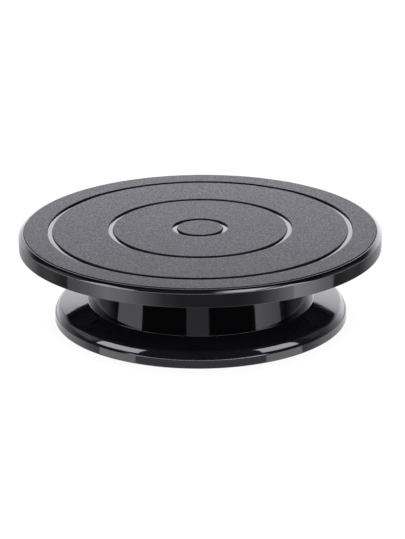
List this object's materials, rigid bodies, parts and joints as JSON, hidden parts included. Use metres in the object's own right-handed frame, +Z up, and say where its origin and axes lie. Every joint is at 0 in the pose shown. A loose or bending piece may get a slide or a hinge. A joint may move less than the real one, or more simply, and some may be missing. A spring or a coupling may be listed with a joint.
{
  "type": "sculpting turntable",
  "caption": "Low banding wheel: a round grooved work surface turning on a wide drum base with a flared foot, for sculpting and decorating.",
  "frame": {"origin": "centre of the bench plane under the rubber feet, on the spindle axis", "axes": "+Z up along the spindle axis; +X through foot_1"},
  "size_m": [0.28, 0.28, 0.0735],
  "materials": {
    "gloss_black": "moulded gloss black",
    "satin_black": "moulded satin black",
    "textured_black": "fine spark-eroded texture on the working field, polished grooves and rim",
    "foot_rubber": "matte black rubber",
    "race_steel": "turned and ground",
    "ball_steel": "polished",
    "spring_steel": "oil-blackened",
    "zinc_screw": "bright zinc plate",
    "bush_bronze": "sintered, oil filled",
    "cage_nylon": "natural nylon"
  },
  "bodies": {
    "base": {"base_shell": "gloss_black", "bottom_cover": "satin_black", "cover_screws": "zinc_screw", "foot_1": "foot_rubber", "foot_2": "foot_rubber", "foot_3": "foot_rubber", "foot_4": "foot_rubber", "foot_5": "foot_rubber", "foot_6": "foot_rubber", "lower_race": "race_steel", "lower_race_screws": "zinc_screw", "upper_bush": "bush_bronze", "lower_bush": "bush_bronze"},
    "wheel_head": {"top_plate": "textured_black", "upper_race": "race_steel", "upper_race_screws": "zinc_screw", "spindle": "race_steel", "spindle_screws": "zinc_screw", "thrust_washer": "cage_nylon", "spring_washer": "spring_steel", "circlip": "spring_steel"},
    "cage": {"ball_cage": "cage_nylon", "bearing_balls": "ball_steel"}
  },
  "joints": [
    {"name": "table_spin", "type": "hinge", "parent": "base", "child": "wheel_head", "pos_m": [0, 0, 0.06], "axis": [0, 0, 1], "continuous": true},
    {"name": "cage_orbit", "type": "hinge", "parent": "base", "child": "cage", "pos_m": [0, 0, 0.063], "axis": [0, 0, 1], "continuous": true}
  ],
  "couplings": [
    {"joint": "cage_orbit", "follows": "table_spin", "ratio": 0.5}
  ]
}
